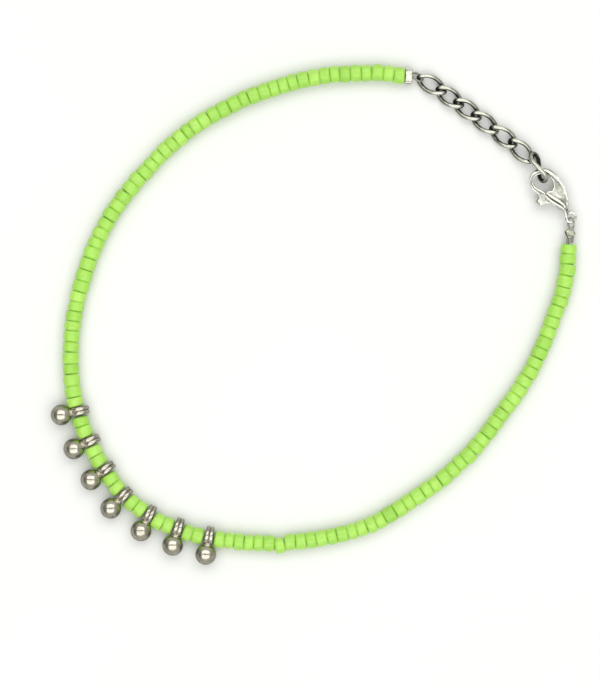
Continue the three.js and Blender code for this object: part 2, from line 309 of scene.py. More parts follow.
def attribute(tree, key):
    made = tree.nodes.new("ShaderNodeAttribute")
    made.attribute_name = key
    return made.outputs["Fac"]


def add_bump(tree, shader, height, strength, distance):
    made = node(tree, "ShaderNodeBump", Height=height, Strength=strength, Distance=distance)
    tree.links.new(made.outputs["Normal"], shader.inputs["Normal"])


def bead_material():
    """Opaque lime glass: each bead a little lighter, darker, yellower or greener."""
    material, tree, shader = new_material("lime_glass")
    tint = ramp(tree, attribute(tree, "tint"), (0.0, (0.315, 0.62, 0.064)),
                (0.45, (0.365, 0.68, 0.084)), (1.0, (0.425, 0.735, 0.112)))
    cloud = ramp(tree, noise_value(tree, 900.0), (0.3, grey(0.9)), (0.7, grey(1.0)))
    streak = ramp(tree, noise_value(tree, 4200.0, 2.0), (0.35, grey(0.96)), (0.6, grey(1.0)))
    colour = multiply(tree, multiply(tree, tint, cloud), streak)
    tree.links.new(colour, shader.inputs["Base Color"])
    rough = ramp(tree, noise_value(tree, 2600.0), (0.3, grey(0.3)), (0.75, grey(0.48)))
    tree.links.new(rough, shader.inputs["Roughness"])
    shader.inputs["IOR"].default_value = 1.5
    shader.inputs["Coat Weight"].default_value = 0.25
    shader.inputs["Coat Roughness"].default_value = 0.22
    shader.inputs["Subsurface Weight"].default_value = 0.4
    shader.inputs["Subsurface Radius"].default_value = (0.4, 1.0, 0.15)
    shader.inputs["Subsurface Scale"].default_value = 0.0006
    add_bump(tree, shader, noise_value(tree, 3300.0), 0.18, 0.00004)
    return material


def aged_and_shaded_metal(name, bright, mid, dark, roughness, wear_shade_from=0.25, wear_shade_to=0.75, bump=0.25):
    """Metal with dark patina, and on some pieces painted shade, where the wear-and-shade attribute
    is low, and polished high spots, and on some pieces painted highlight, where it is high.
    Roughness gives the polished and the dark metal's own, and the wear range says where each
    starts."""
    material, tree, shader = new_material(name)
    wear = attribute(tree, "wear")
    blotch = noise_value(tree, 1400.0, 5.0)
    fine = noise_value(tree, 5200.0, 3.0)
    shifted = tree.nodes.new("ShaderNodeMath")
    shifted.operation = "MULTIPLY_ADD"
    tree.links.new(blotch, shifted.inputs[0])
    shifted.inputs[1].default_value = 0.5
    tree.links.new(wear, shifted.inputs[2])
    high = ramp(tree, shifted.outputs[0], (wear_shade_from + 0.2, dark), (wear_shade_to, mid),
                (wear_shade_to + 0.22, bright))
    specks = ramp(tree, fine, (0.38, grey(0.82)), (0.55, grey(1.0)))
    tree.links.new(multiply(tree, high, specks), shader.inputs["Base Color"])
    low_rough, high_rough = roughness
    rough = ramp(tree, shifted.outputs[0], (wear_shade_from + 0.15, grey(high_rough)),
                 (wear_shade_to + 0.2, grey(low_rough)))
    tree.links.new(rough, shader.inputs["Roughness"])
    shader.inputs["Metallic"].default_value = 1.0
    add_bump(tree, shader, blotch, bump, 0.00003)
    return material


def coated_wire_material():
    material, tree, shader = new_material("coated_wire")
    spread = ramp(tree, noise_value(tree, 2400.0), (0.35, (0.2, 0.195, 0.17)),
                  (0.7, (0.42, 0.41, 0.36)))
    tree.links.new(spread, shader.inputs["Base Color"])
    rough = ramp(tree, noise_value(tree, 3800.0), (0.3, grey(0.28)), (0.7, grey(0.45)))
    tree.links.new(rough, shader.inputs["Roughness"])
    shader.inputs["Metallic"].default_value = 0.55
    add_bump(tree, shader, noise_value(tree, 6000.0), 0.3, 0.00002)
    return material


def floor_material():
    material, tree, shader = new_material("pale_floor")
    tone = ramp(tree, noise_value(tree, 14.0), (0.3, (0.735, 0.742, 0.712)),
                (0.7, (0.752, 0.758, 0.73)))
    tree.links.new(tone, shader.inputs["Base Color"])
    shader.inputs["Roughness"].default_value = 0.7
    shader.inputs["Specular IOR Level"].default_value = 0.2
    return material


LIME_GLASS = bead_material()
ANTIQUE_NICKEL = aged_and_shaded_metal("antique_nickel", (0.54, 0.51, 0.42), (0.40, 0.38, 0.30),
                            (0.17, 0.165, 0.12), (0.18, 0.52))
ANTIQUE_SILVER = aged_and_shaded_metal("antique_silver", (0.56, 0.56, 0.48), (0.34, 0.335, 0.275),
                            (0.03, 0.031, 0.024), (0.2, 0.42))
BRIGHT_SILVER = aged_and_shaded_metal("bright_silver", (0.72, 0.72, 0.65), (0.285, 0.29, 0.24),
                           (0.13, 0.13, 0.1), (0.24, 0.46), 0.0, 0.74, bump=0.12)
# The lever is the same plated silver as the clasp body, with lighter mid tones and a lower wear
# range: a painted highlight on the lever
LIT_LEVER_SILVER = aged_and_shaded_metal("lever_silver_lit", (0.7, 0.7, 0.64), (0.45, 0.45, 0.39),
                          (0.12, 0.12, 0.09), (0.24, 0.46), 0.0, 0.66, bump=0.12)
BRIGHT_CRIMP = aged_and_shaded_metal("bright_crimp", (0.53, 0.54, 0.44), (0.46, 0.47, 0.37),
                          (0.08, 0.075, 0.06), (0.22, 0.36), 0.0, 0.5, bump=0.1)
DULL_CRIMP = aged_and_shaded_metal("dull_crimp", (0.42, 0.43, 0.33), (0.27, 0.28, 0.2),
                        (0.05, 0.052, 0.035), (0.24, 0.42))
COATED_WIRE = coated_wire_material()


# Bead string

BEAD_SEED = 11
BEAD_EDGE_LONG = 0.6
BEAD_EDGE_DEEP = 0.38
BEAD_EDGE_STEPS = 7
BEAD_SIDES = 28
# Half the gap between two beads
BEAD_EASE = 0.005
# How far beads differ: shares of a size, offsets in millimetres, turns in radians
BEAD_LENGTH_SPREAD = 0.13
BEAD_RADIUS_SPREAD = (-0.03, 0.02)
EDGE_LONG_SPREAD = 0.25
EDGE_DEEP_SPREAD = 0.2
OFFSET_SPREAD = 0.08
LEAN_SPREAD = 0.06
PITCH_SPREAD = 0.04
SQUASH_SPREAD = 0.02
BEAD_DENT = 0.03
# One bead low on the string sits askew
ODD_BEAD_PLACE = Vector((-6.64, -41.6, 0))
ODD_BEAD_OFFSET = 0.45
ODD_BEAD_LEAN = 0.16
ODD_BEAD_SIZE = 0.97

THREAD_RADIUS = 0.19
THREAD_LEAD = 0.3
THREAD_TAIL = 1.3
THREAD_STEPS = 420
THREAD_SIDES = 10


def string_stations():
    """Beads and charm rings along the route, as the construction has them."""
    stations = []
    place = 0.0
    for _ in range(BEADS_BEFORE_CHARMS):
        stations.append(("bead", place, place + BEAD_LENGTH))
        place += BEAD_LENGTH
    for charm in range(CHARM_COUNT):
        stations.append(("charm", place, place + CHARM_SLOT))
        place += CHARM_SLOT
        for _ in range(BEADS_BETWEEN_CHARMS if charm < CHARM_COUNT - 1 else 0):
            stations.append(("bead", place, place + BEAD_LENGTH))
            place += BEAD_LENGTH
    rest = ROUTE.length - place
    count = round(rest / BEAD_LENGTH)
    for _ in range(count):
        stations.append(("bead", place, place + rest / count))
        place += rest / count
    return stations


def uneven(stations, dice):
    """The same stations with beads of slightly different lengths between fixed ends."""
    result = []
    run = []

    def close_run():
        if not run:
            return
        total = run[-1][2] - run[0][1]
        shares = [1 + either_way(dice, BEAD_LENGTH_SPREAD) for _ in run]
        scale = total / sum(shares)
        place = run[0][1]
        for share in shares:
            result.append(("bead", place, place + share * scale))
            place += share * scale
        run.clear()

    for station in stations:
        if station[0] == "bead":
            run.append(station)
        else:
            close_run()
            result.append(station)
    close_run()
    return result


def bead_profile(half, radius, long, deep):
    """Radius and place along the hole of a round-edged bead, from hole to hole."""
    points = [(BEAD_HOLE, -half * 0.86), (BEAD_HOLE * 1.25, -half * 0.97)]
    for step in range(BEAD_EDGE_STEPS + 1):
        angle = math.pi / 2 * step / BEAD_EDGE_STEPS
        crown = radius - deep + deep * math.sin(angle)
        points.append((crown, -half + long - long * math.cos(angle)))
    return points + [(size, -place) for size, place in reversed(points)]


def add_bead(parts, start, end, dice):
    half = (end - start) / 2 - BEAD_EASE
    radius = BEAD_RADIUS * (1 + dice.uniform(*BEAD_RADIUS_SPREAD))
    long = min(BEAD_EDGE_LONG * (1 + either_way(dice, EDGE_LONG_SPREAD)), half * 0.9)
    deep = BEAD_EDGE_DEEP * (1 + either_way(dice, EDGE_DEEP_SPREAD))
    centre = ROUTE.point((start + end) / 2)
    way = ROUTE.along((start + end) / 2)
    across = UP.cross(way)
    is_odd = (centre - SHIFT - ODD_BEAD_PLACE).to_2d().length < BEAD_LENGTH * 0.5
    centre = centre + across * either_way(dice, OFFSET_SPREAD)
    lean = either_way(dice, LEAN_SPREAD)
    pitch = either_way(dice, PITCH_SPREAD)
    squash = 1 + either_way(dice, SQUASH_SPREAD)
    if is_odd:
        centre = centre - across * ODD_BEAD_OFFSET
        lean = ODD_BEAD_LEAN
        radius *= ODD_BEAD_SIZE
    centre.z = radius * max(1, squash)
    turned = Matrix.Rotation(lean, 3, UP) @ Matrix.Rotation(pitch, 3, across)
    way, across = turned @ way, turned @ across
    over = way.cross(across)
    seed = noise_place(dice, 50)
    rings = []
    for size, place in bead_profile(half, radius, long, deep):
        ring = []
        for side in range(BEAD_SIDES):
            angle = side / BEAD_SIDES * math.tau
            spoke = across * math.cos(angle) + over * math.sin(angle) * squash
            dent = noise.noise(seed + spoke * 1.3 + way * place) * BEAD_DENT
            dent = dent * (size - BEAD_HOLE) / radius
            ring.append(centre + way * place + spoke * (size + dent))
        rings.append(ring)
    tint = min(1.0, max(0.0, dice.gauss(0.5, 0.2)))
    parts.add(rings, True, tint=tint)


def build_beads():
    """All beads, in two pieces that meet just past the last charm. Returns the charms' stations."""
    dice = random.Random(BEAD_SEED)
    stations = string_stations()
    charms = [station for station in stations if station[0] == "charm"]
    split = stations.index(charms[-1]) + 2
    sides = {
        "bead_string_left": uneven(stations[:split], dice),
        "bead_string_right": uneven(stations[split:], dice),
    }
    for name, side in sides.items():
        parts = MeshParts("tint")
        for kind, start, end in side:
            if kind == "bead":
                add_bead(parts, start, end, dice)
        parts.piece(f"{name}_glass", LIME_GLASS, "seed_beads", [name])
    return charms


def build_thread():
    """The beading wire through the whole string and on towards the end crimp."""
    start = -THREAD_LEAD
    end = ROUTE.length + THREAD_TAIL
    path = [ROUTE.point(start + (end - start) * step / THREAD_STEPS)
            for step in range(THREAD_STEPS + 1)]
    parts = MeshParts()
    parts.add(wire_rings(path, lambda index: UP, THREAD_RADIUS, THREAD_SIDES, False), False)
    parts.piece("string_wire", COATED_WIRE, "wire_coat")


# Ball charms, in the construction's charm frame: ball at the origin, ring towards +X

CHARM_SEED = 100
BALL_BANDS = 22
BALL_SIDES = 36
# Depth in millimetres and scale of the ball's dents
BALL_DENTS = ((0.03, 1.7), (0.006, 5))
# The ridged neck between ball and ring: place from the ball's middle, radius, and how worn
NECK_PROFILE = [
    (1.50, 0.98, 0.45), (1.62, 0.95, 0.4), (1.68, 0.90, 0.75), (1.76, 0.88, 0.85),
    (1.84, 0.84, 0.5), (1.88, 0.79, 0.25), (1.94, 0.83, 0.75), (2.02, 0.81, 0.85),
    (2.10, 0.70, 0.4), (2.16, 0.40, 0.2),
]
NECK_SIDES = 28
NECK_DROP = 0.02
RING_STEPS = 64
RIDGE_STEPS = 18
# The inner side of the ring's section: across and depth, as shares, and how worn
RING_INSIDE = [(0.92, 0.14, 0.1), (0.3, 0.0, 0.1), (-0.3, 0.0, 0.1), (-0.92, 0.14, 0.1)]
RING_DENT = 0.03


def add_ball(parts, dice):
    """A dented ball, lighter on top as a painted highlight and lighter towards its ring, and dark
    elsewhere, partly patina and partly painted shade.
    """
    rings = []
    wear = []
    seed = noise_place(dice, 30)
    for band in range(1, BALL_BANDS):
        angle = math.pi * band / BALL_BANDS
        ring = []
        for side in range(BALL_SIDES):
            turn = side / BALL_SIDES * math.tau
            spoke = Vector((-math.cos(angle), math.sin(angle) * math.cos(turn),
                            math.sin(angle) * math.sin(turn)))
            dent = sum(depth * noise.noise(seed + spoke * scale) for depth, scale in BALL_DENTS)
            ring.append(spoke * (BALL_RADIUS + dent))
            # Lighter on top: painted highlight. Dark on the sides and underneath: partly patina,
            # partly painted shade. Also lighter towards the ring.
            wear_shade_value = 0.06 + 0.64 * max(0.0, spoke.z) ** 1.1 + 0.26 * max(0.0, spoke.x)
            wear.append(wear_shade_value + 0.1 * noise.noise(seed + spoke * 2.5))
        rings.append(ring)
    parts.add(rings, False, wear=wear)


def add_neck(parts):
    across = Vector((0, 1, 0))
    rings = []
    wear = []
    for place, radius, value in NECK_PROFILE:
        rings.append(circle(Vector((place, 0, -NECK_DROP)), across, UP, radius, NECK_SIDES))
        wear.extend([value] * NECK_SIDES)
    parts.add(rings, False, wear=wear)


def ring_section():
    """Place across and depth, as shares, round the ring's section, with how worn each is."""
    section = []
    for step in range(RIDGE_STEPS + 1):
        across = -1 + 2 * step / RIDGE_STEPS
        lobe = math.sqrt(max(0.0, 1 - ((abs(across) - 0.5) / 0.5) ** 2))
        section.append((across, 0.64 + 0.36 * lobe, 0.08 + 0.62 * lobe))
    return section + RING_INSIDE


def add_ring(parts, dice):
    """A band ring with two ridges round it, wide near the ball and narrower at the far side."""
    middle = Vector((CHARM_REACH - RING_RADIUS, 0, RING_RADIUS - BALL_RADIUS))
    seed = noise_place(dice, 30)
    section = ring_section()
    rings = []
    wear = []
    for step in range(RING_STEPS):
        angle = step / RING_STEPS * math.tau
        outward = Vector((math.cos(angle), 0, math.sin(angle)))
        share = (1 + math.cos(angle)) / 2
        width = RING_WIDTH + (RING_TIP_WIDTH - RING_WIDTH) * share
        ring = []
        for across, depth, value in section:
            radius = RING_RADIUS - RING_DEPTH + depth * RING_DEPTH
            point = middle + outward * radius + Vector((0, across * width / 2, 0))
            dent = noise.noise(seed + point * 2.2)
            ring.append(point + outward * dent * RING_DENT)
            wear.append(value + 0.12 * dent + 0.26 - 0.54 * share ** 1.5)
        rings.append(ring)
    parts.add(rings, True, wear=wear)


def charm_matrix(name, station, lean):
    """Where the construction has this charm: its ball's middle, and the way to its ring."""
    _, start, end = station
    across = UP.cross(ROUTE.along((start + end) / 2, SHORT_REACH)).normalized()
    to_ring = Matrix.Rotation(math.radians(lean), 3, UP) @ across
    low, high = (Vector(corner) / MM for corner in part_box(name))
    ball = Vector((
        low.x + BALL_RADIUS if to_ring.x > 0 else high.x - BALL_RADIUS,
        low.y + BALL_RADIUS if to_ring.y > 0 else high.y - BALL_RADIUS,
        BALL_RADIUS,
    ))
    heading = math.atan2(to_ring.y, to_ring.x)
    return Matrix.Translation(ball) @ Matrix.Rotation(heading, 4, "Z")


def build_charms(stations):
    for index, (station, lean) in enumerate(zip(stations, CHARM_LEANS)):
        name = f"charm_{index + 1}"
        dice = random.Random(CHARM_SEED + index)
        parts = MeshParts("wear")
        add_ball(parts, dice)
        add_neck(parts)
        add_ring(parts, dice)
        placed = charm_matrix(name, station, lean)
        parts.points = [placed @ point for point in parts.points]
        parts.piece(f"{name}_metal", ANTIQUE_NICKEL, "charm_metal", [name])


# Chain links

LINK_STEPS = 72
LINK_SIDES = 16


def link_parts(placed):
    """A twisted link of round wire, in place. It is lighter on top and on its higher strand as a
    painted highlight, and darker inside, at both ends, and most of all where a lying link starts,
    partly patina in its crevices and partly painted shade."""
    half_length = LINK_LENGTH / 2 - LINK_WIRE_RADIUS
    half_width = LINK_WIDTH / 2 - LINK_WIRE_RADIUS
    path = []
    for step in range(LINK_STEPS):
        angle = step / LINK_STEPS * math.tau
        twist = LINK_TWIST * math.cos(angle)
        side = half_width * math.sin(angle)
        path.append(Vector((half_length * math.cos(angle), side * math.cos(twist),
                            side * math.sin(twist))))
    rings = wire_rings(path, lambda index: path[index].normalized(), LINK_WIRE_RADIUS,
                       LINK_SIDES, True)
    rings = [[placed @ point for point in ring] for ring in rings]
    path = [placed @ point for point in path]
    middle = placed.translation
    lying = max(0.0, placed.to_3x3().col[2].z)
    peak = max(point.z - middle.z for point in path)
    wear = []
    for step, (centre, ring) in enumerate(zip(path, rings)):
        inward = (middle - centre).normalized()
        height = (centre.z - middle.z) / peak
        end_place = math.cos(step / LINK_STEPS * math.tau)
        end_share = max(0.0, abs(end_place) - 0.72) / 0.28
        start_share = lying * max(0.0, -end_place - 0.84) / 0.16
        for point in ring:
            outward = (point - centre).normalized()
            inside = max(0.0, outward.dot(inward))
            # Painted highlight on upward faces and the higher strand; darker inside and at the
            # ends, partly patina, partly painted shade where links overlap
            value = 0.54 + (0.12 + 0.18 * height) * outward.z - 0.06 * (1 - height)
            value -= 0.45 * inside + 0.48 * end_share * (1.05 - outward.z) + 0.42 * start_share
            wear.append(value + 0.16 * noise.noise(point * 1.4))
    parts = MeshParts("wear")
    parts.add(rings, True, wear=wear)
    return parts


def build_links():
    for index, (heading, pitch, roll) in enumerate(LINK_TURNS):
        name = f"chain_link_{index + 1}"
        placed = Matrix.Translation(middle_of(name)) @ (
            Matrix.Rotation(math.radians(heading), 4, "Z")
            @ Matrix.Rotation(math.radians(pitch), 4, "Y")
            @ Matrix.Rotation(math.radians(roll), 4, "X")
        )
        parts = link_parts(placed)
        parts.piece(f"{name}_metal", ANTIQUE_SILVER, "chain_metal", [name])


# Clasp, worked smooth from the construction's own faceted bodies

CLASP_EYE = Vector((45.69, 17.29, 1.635))
CLASP_HEADING = math.radians(121.2)
CLASP_LENGTH = 10.45
CLASP_WIDTH = 4.4

# Ridges and swellings of the clasp: the place as shares of its length and width, then the height
# of the middle, the radius across and the radius up and down, in millimetres
HOOK_RIDGE = [
    (0.905, 0.625, 0, 0.18, 0.26), (0.937, 0.54, 0, 0.24, 0.3), (0.965, 0.36, 0, 0.3, 0.34),
    (0.955, 0.1, 0, 0.34, 0.36), (0.9, -0.11, 0, 0.4, 0.38), (0.8, -0.26, 0, 0.42, 0.4),
    (0.66, -0.335, 0, 0.42, 0.46), (0.5, -0.335, 0, 0.4, 0.62), (0.36, -0.265, 0, 0.38, 0.8),
    (0.24, -0.15, 0, 0.36, 0.8), (0.14, -0.03, 0, 0.32, 0.55),
]
CHEEK_RIDGE = [
    (0.575, 0.45, 0.95, 0.2, 0.3), (0.5, 0.43, 1.06, 0.25, 0.32), (0.4, 0.345, 1.1, 0.26, 0.32),
    (0.3, 0.22, 1.02, 0.26, 0.32), (0.2, 0.09, 0.74, 0.26, 0.32), (0.11, 0.09, 0.3, 0.26, 0.32),
    (0.03, 0.16, 0.0, 0.28, 0.34), (-0.04, 0.16, 0.0, 0.28, 0.34),
]
MIDDLE_RIDGE = [
    (0.6, 0.38, 0.86, 0.2, 0.3), (0.52, 0.3, 1.04, 0.3, 0.32), (0.43, 0.2, 1.12, 0.32, 0.32),
    (0.34, 0.085, 1.1, 0.32, 0.32), (0.25, 0.0, 0.92, 0.3, 0.32), (0.16, 0.0, 0.6, 0.24, 0.3),
]
LEVER_RIDGE = [
    (0.885, 0.57, 0, 0.2, 0.32), (0.83, 0.62, 0, 0.26, 0.38), (0.75, 0.61, 0, 0.27, 0.4),
    (0.67, 0.515, 0, 0.27, 0.4), (0.6, 0.42, 0, 0.25, 0.42), (0.54, 0.34, 0, 0.2, 0.42),
]
TAB_LIP = [
    (0.455, 0.8, 0, 0.16, 0.6), (0.48, 0.875, 0, 0.2, 0.66), (0.54, 0.885, 0, 0.2, 0.66),
    (0.575, 0.78, 0, 0.16, 0.6), (0.58, 0.66, 0, 0.14, 0.5),
]
# How thick the plate between the ridges stays along the clasp, as a share of the construction's
BODY_SHARES = [(0.0, 0.9), (0.3, 0.72), (0.44, 0.56), (0.56, 0.34), (0.74, 0.3), (1.2, 0.36)]
LEVER_SHARES = [(0.0, 0.9), (0.42, 0.8), (0.54, 0.4), (1.2, 0.36)]
RIDGE_SIDES = 20
RIDGE_SPAN_STEPS = 10
# Over how many rows a ridge rounds off at each end, and where on that round its first row is
RIDGE_END_ROWS = 4
RIDGE_FIRST_ROW = 0.35
# How fine each body is worked, and how many rounds of smoothing it gets
BODY_VOXEL = 0.055
BODY_ROUNDS = 20
LEVER_VOXEL = 0.05
LEVER_ROUNDS = 12
SMOOTHING = 0.5
# Depth in millimetres and scale of the cast surface's soft waves
CAST_WAVES = ((0.01, 0.9), (0.002, 2.7))
# Painted light on flat ground, and how much it rises on crests as painted highlight and falls in
# hollows as painted shade
FLAT_LIGHT_LEVEL = 0.52
CREST_HOLLOW_SHADING = 0.6
SHADING_ROUNDS = 4


def share_at(shares, place):
    """The value at a place, between the two nearest of a row of places and values."""
    for (before, low), (after, high) in zip(shares, shares[1:]):
        if place <= after:
            part = max(0.0, (place - before) / (after - before))
            return low + (high - low) * part
    return shares[-1][1]


def clasp_ridge(stations, side=1):
    """Rings of an oval rod along a run of clasp stations, with rounded ends."""
    turned = Matrix.Rotation(CLASP_HEADING, 3, "Z")
    rows = smooth_run([Vector(station) for station in stations], RIDGE_SPAN_STEPS)
    places = []
    for along, aside, height, _, _ in rows:
        local = Vector((along * CLASP_LENGTH, aside * CLASP_WIDTH, side * height))
        places.append(turned @ local + CLASP_EYE + SHIFT)
    last = len(rows) - 1
    angles = [step / RIDGE_SIDES * math.tau for step in range(RIDGE_SIDES)]
    rings = []
    for index, (_, _, _, wide, high) in enumerate(rows):
        way = places[min(index + 1, last)] - places[max(index - 1, 0)]
        across = UP.cross(way).normalized()
        near_end = min(index, last - index)
        rounding = min(1.0, (near_end + RIDGE_FIRST_ROW) / RIDGE_END_ROWS)
        taper = math.sin(math.pi / 2 * rounding)
        rings.append([
            places[index] + across * math.cos(angle) * wide * taper
            + UP * math.sin(angle) * high * taper
            for angle in angles
        ])
    return rings


def thinned_points(source, shares):
    """A clasp body's points in millimetres, drawn in towards its middle height."""
    clasp_way = Matrix.Rotation(CLASP_HEADING, 3, "Z") @ Vector((1, 0, 0))
    points = [vertex.co / MM for vertex in source.vertices]
    for point in points:
        place = (point - CLASP_EYE - SHIFT).dot(clasp_way) / CLASP_LENGTH
        point.z = CLASP_EYE.z + (point.z - CLASP_EYE.z) * share_at(shares, place)
    return points


def cast_piece(name, node_name, material, body, voxel, rounds, ridges, shares):
    """A smooth cast copy of a faceted body, with ridges added, lighter on crests as a painted
    highlight and darker in hollows as painted shade.
    """
    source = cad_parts[node_name].data
    points = thinned_points(source, shares)
    faces = [tuple(face.vertices) for face in source.polygons]
    for rings in ridges:
        faces.extend(join_rings(rings, False, len(points)))
        for ring in rings:
            points.extend(ring)
    rough = bpy.data.meshes.new(f"{name}_rough")
    rough.from_pydata([tuple(point * MM) for point in points], [], faces)
    piece = new_object(name, rough)
    remesh = piece.modifiers.new("remesh", "REMESH")
    remesh.mode = "VOXEL"
    remesh.voxel_size = voxel * MM
    smooth = piece.modifiers.new("smooth", "SMOOTH")
    smooth.factor = SMOOTHING
    smooth.iterations = rounds
    bpy.context.view_layer.update()
    graph = bpy.context.evaluated_depsgraph_get()
    finished = bpy.data.meshes.new_from_object(piece.evaluated_get(graph))
    piece.modifiers.clear()
    piece.data = finished
    bpy.data.meshes.remove(rough)
    finished.polygons.foreach_set("use_smooth", [True] * len(finished.polygons))
    finished.materials.clear()
    finished.materials.append(material)
    roughen(finished)
    add_crest_highlight_hollow_shade(finished, voxel)
    finish_piece(piece, body, [node_name])


def roughen(mesh):
    """Pushes a cast surface in and out in soft waves."""
    moved = []
    for vertex in mesh.vertices:
        place = vertex.co / MM
        push = sum(depth * noise.noise(place * scale) for depth, scale in CAST_WAVES)
        moved.extend(vertex.co + vertex.normal * (push * MM))
    mesh.vertices.foreach_set("co", moved)
    mesh.update()


def add_crest_highlight_hollow_shade(mesh, voxel):
    """Painted highlight on crests and painted shade in hollows, from how far each point stands out
    of, or lies under, the middle of its neighbours.
    """
    neighbours = [[] for _ in mesh.vertices]
    for edge in mesh.edges:
        first, second = edge.vertices
        neighbours[first].append(second)
        neighbours[second].append(first)
    places = [vertex.co / MM for vertex in mesh.vertices]
    values = []
    for vertex in mesh.vertices:
        near = neighbours[vertex.index]
        middle = sum((places[other] for other in near), Vector()) / max(len(near), 1)
        values.append((places[vertex.index] - middle).dot(vertex.normal) / voxel ** 2)
    for _ in range(SHADING_ROUNDS):
        values = [
            (values[index] + sum(values[other] for other in near)) / (1 + len(near))
            for index, near in enumerate(neighbours)
        ]
    layer = mesh.attributes.new("wear", "FLOAT", "POINT")
    wear_shade_value = [min(1.0, max(0.0, FLAT_LIGHT_LEVEL + CREST_HOLLOW_SHADING * value)) for value in values]
    layer.data.foreach_set("value", wear_shade_value)


def build_clasp():
    body_ridges = [clasp_ridge(HOOK_RIDGE)]
    for side in (-1, 1):
        body_ridges.append(clasp_ridge(CHEEK_RIDGE, side))
        body_ridges.append(clasp_ridge(MIDDLE_RIDGE, side))
    cast_piece("clasp_body_silver", "clasp_body", BRIGHT_SILVER, BODY, BODY_VOXEL, BODY_ROUNDS,
               body_ridges, BODY_SHARES)
    lever_ridges = [clasp_ridge(LEVER_RIDGE), clasp_ridge(TAB_LIP)]
    cast_piece("clasp_lever_silver", "clasp_lever", LIT_LEVER_SILVER, "lever", LEVER_VOXEL,
               LEVER_ROUNDS, lever_ridges, LEVER_SHARES)


# Crimps, each pressed into two facets

CRIMP_BANDS = 20
CRIMP_SIDES = 40
CRIMP_DENT = 0.03
# Each facet's place across and along, its half width, half length and half height, and its tilt in
# degrees, which leans its top away from the crimp's middle
START_FACETS = [(0.6, -0.03, 0.86, 0.68, 0.5, 6), (-0.74, 0.05, 0.7, 0.66, 0.47, -8)]
END_FACETS = [(0.36, -0.05, 0.46, 0.82, 0.44, 12), (-0.36, 0.1, 0.44, 0.76, 0.4, -10)]
# How far the end crimp is turned from the string's own way
END_CRIMP_TURN = math.radians(30)


def blunt(value, power):
    """A sine or cosine pushed out towards one, which squares off a round section."""
    return math.copysign(abs(value) ** power, value)


def pressed_crimp(name, node_name, material, along, facets):
    """A flattened crimp, lighter on top as a painted highlight and darker at its sides and ends as
    painted shade.
    """
    centre = middle_of(node_name)
    across = UP.cross(along)
    parts = MeshParts("wear")
    for side, shift, half_width, half_length, half_height, tilt in facets:
        middle = centre + across * side + along * shift
        tilted = Matrix.Rotation(math.radians(tilt), 3, along)
        rings = []
        wear = []
        for band in range(1, CRIMP_BANDS):
            angle = math.pi * band / CRIMP_BANDS
            reach = -blunt(math.cos(angle), 0.35)
            girth = math.sin(angle) ** 0.3
            ring = []
            for step in range(CRIMP_SIDES):
                turn = step / CRIMP_SIDES * math.tau
                wide = blunt(math.cos(turn), 0.4)
                high = blunt(math.sin(turn), 0.4)
                spoke = tilted @ (across * wide * half_width + UP * high * half_height)
                point = middle + along * reach * half_length + spoke * girth
                ring.append(point + UP * noise.noise(point * 1.8) * CRIMP_DENT)
                # Painted highlight on the top, painted shade on the sides and ends
                wear.append(0.3 + 0.34 * max(0.0, high) - 0.25 * abs(wide) ** 6
                            - 0.2 * abs(reach) ** 8 + 0.12 * noise.noise(point * 2.4))
            rings.append(ring)
        parts.add(rings, False, wear=wear)
    parts.piece(name, material, "crimp_metal", [node_name])


def build_crimps():
    start_way = ROUTE.along(0, SHORT_REACH)
    end_way = Matrix.Rotation(END_CRIMP_TURN, 3, UP) @ ROUTE.along(ROUTE.length, SHORT_REACH)
    pressed_crimp("start_crimp_silver", "start_crimp", BRIGHT_CRIMP, start_way, START_FACETS)
    pressed_crimp("end_crimp_dull", "end_crimp", DULL_CRIMP, end_way, END_FACETS)


# Ends of the beading wire

TAIL_RADIUS = 0.2
TAIL_STEPS = 6
# Where the two strands lie: place across, and start and stop along from the tail's own base
TAIL_STRANDS = ((0.42, -0.3, 1.5), (-0.62, 0.25, 1.4))
# From the string's end to that base, and the share by which the strands spread on their way
TAIL_BASE = 0.1
TAIL_SPREAD = 0.25
WIRE_SIDES = 12

LOOP_WIRE_RADIUS = 0.17
LOOP_HALF_WIDTH = 0.8
# How far the strands run on inside their crimp
LOOP_HIDDEN = 0.7
LOOP_HIDDEN_WIDTH = 0.15
# How far along and how wide a strand is on its way to the bend, as shares of reach and half width
LOOP_STRAND = ((0, 0.55), (0.35, 0.88), (0.75, 1))
LOOP_BEND_STEPS = 8
LOOP_SPAN_STEPS = 6
# Each loop's roll about its own length, the start one's before the link's twist is taken off
START_LOOP_ROLL = math.radians(-90)
END_LOOP_ROLL = math.radians(-55)
LOOP_ROOT_POINTS = 12
# From the middle of the clasp's eye to the middle of its rim
EYE_RIM = 0.875


def build_tail():
    """The wire's own end, doubled back through the end crimp and cut off beside the string."""
    base = ROUTE.point(ROUTE.length + TAIL_BASE)
    way = ROUTE.along(ROUTE.length, SHORT_REACH)
    across = UP.cross(way)
    parts = MeshParts()
    for aside, start, stop in TAIL_STRANDS:
        path = []
        for step in range(TAIL_STEPS + 1):
            share = step / TAIL_STEPS
            path.append(base + way * (start + (stop - start) * share)
                        + across * aside * (1 - TAIL_SPREAD + TAIL_SPREAD * share))
        parts.add(wire_rings(path, lambda index: UP, TAIL_RADIUS, WIRE_SIDES, False), False)
    parts.piece("string_wire_tail", COATED_WIRE, "wire_coat")


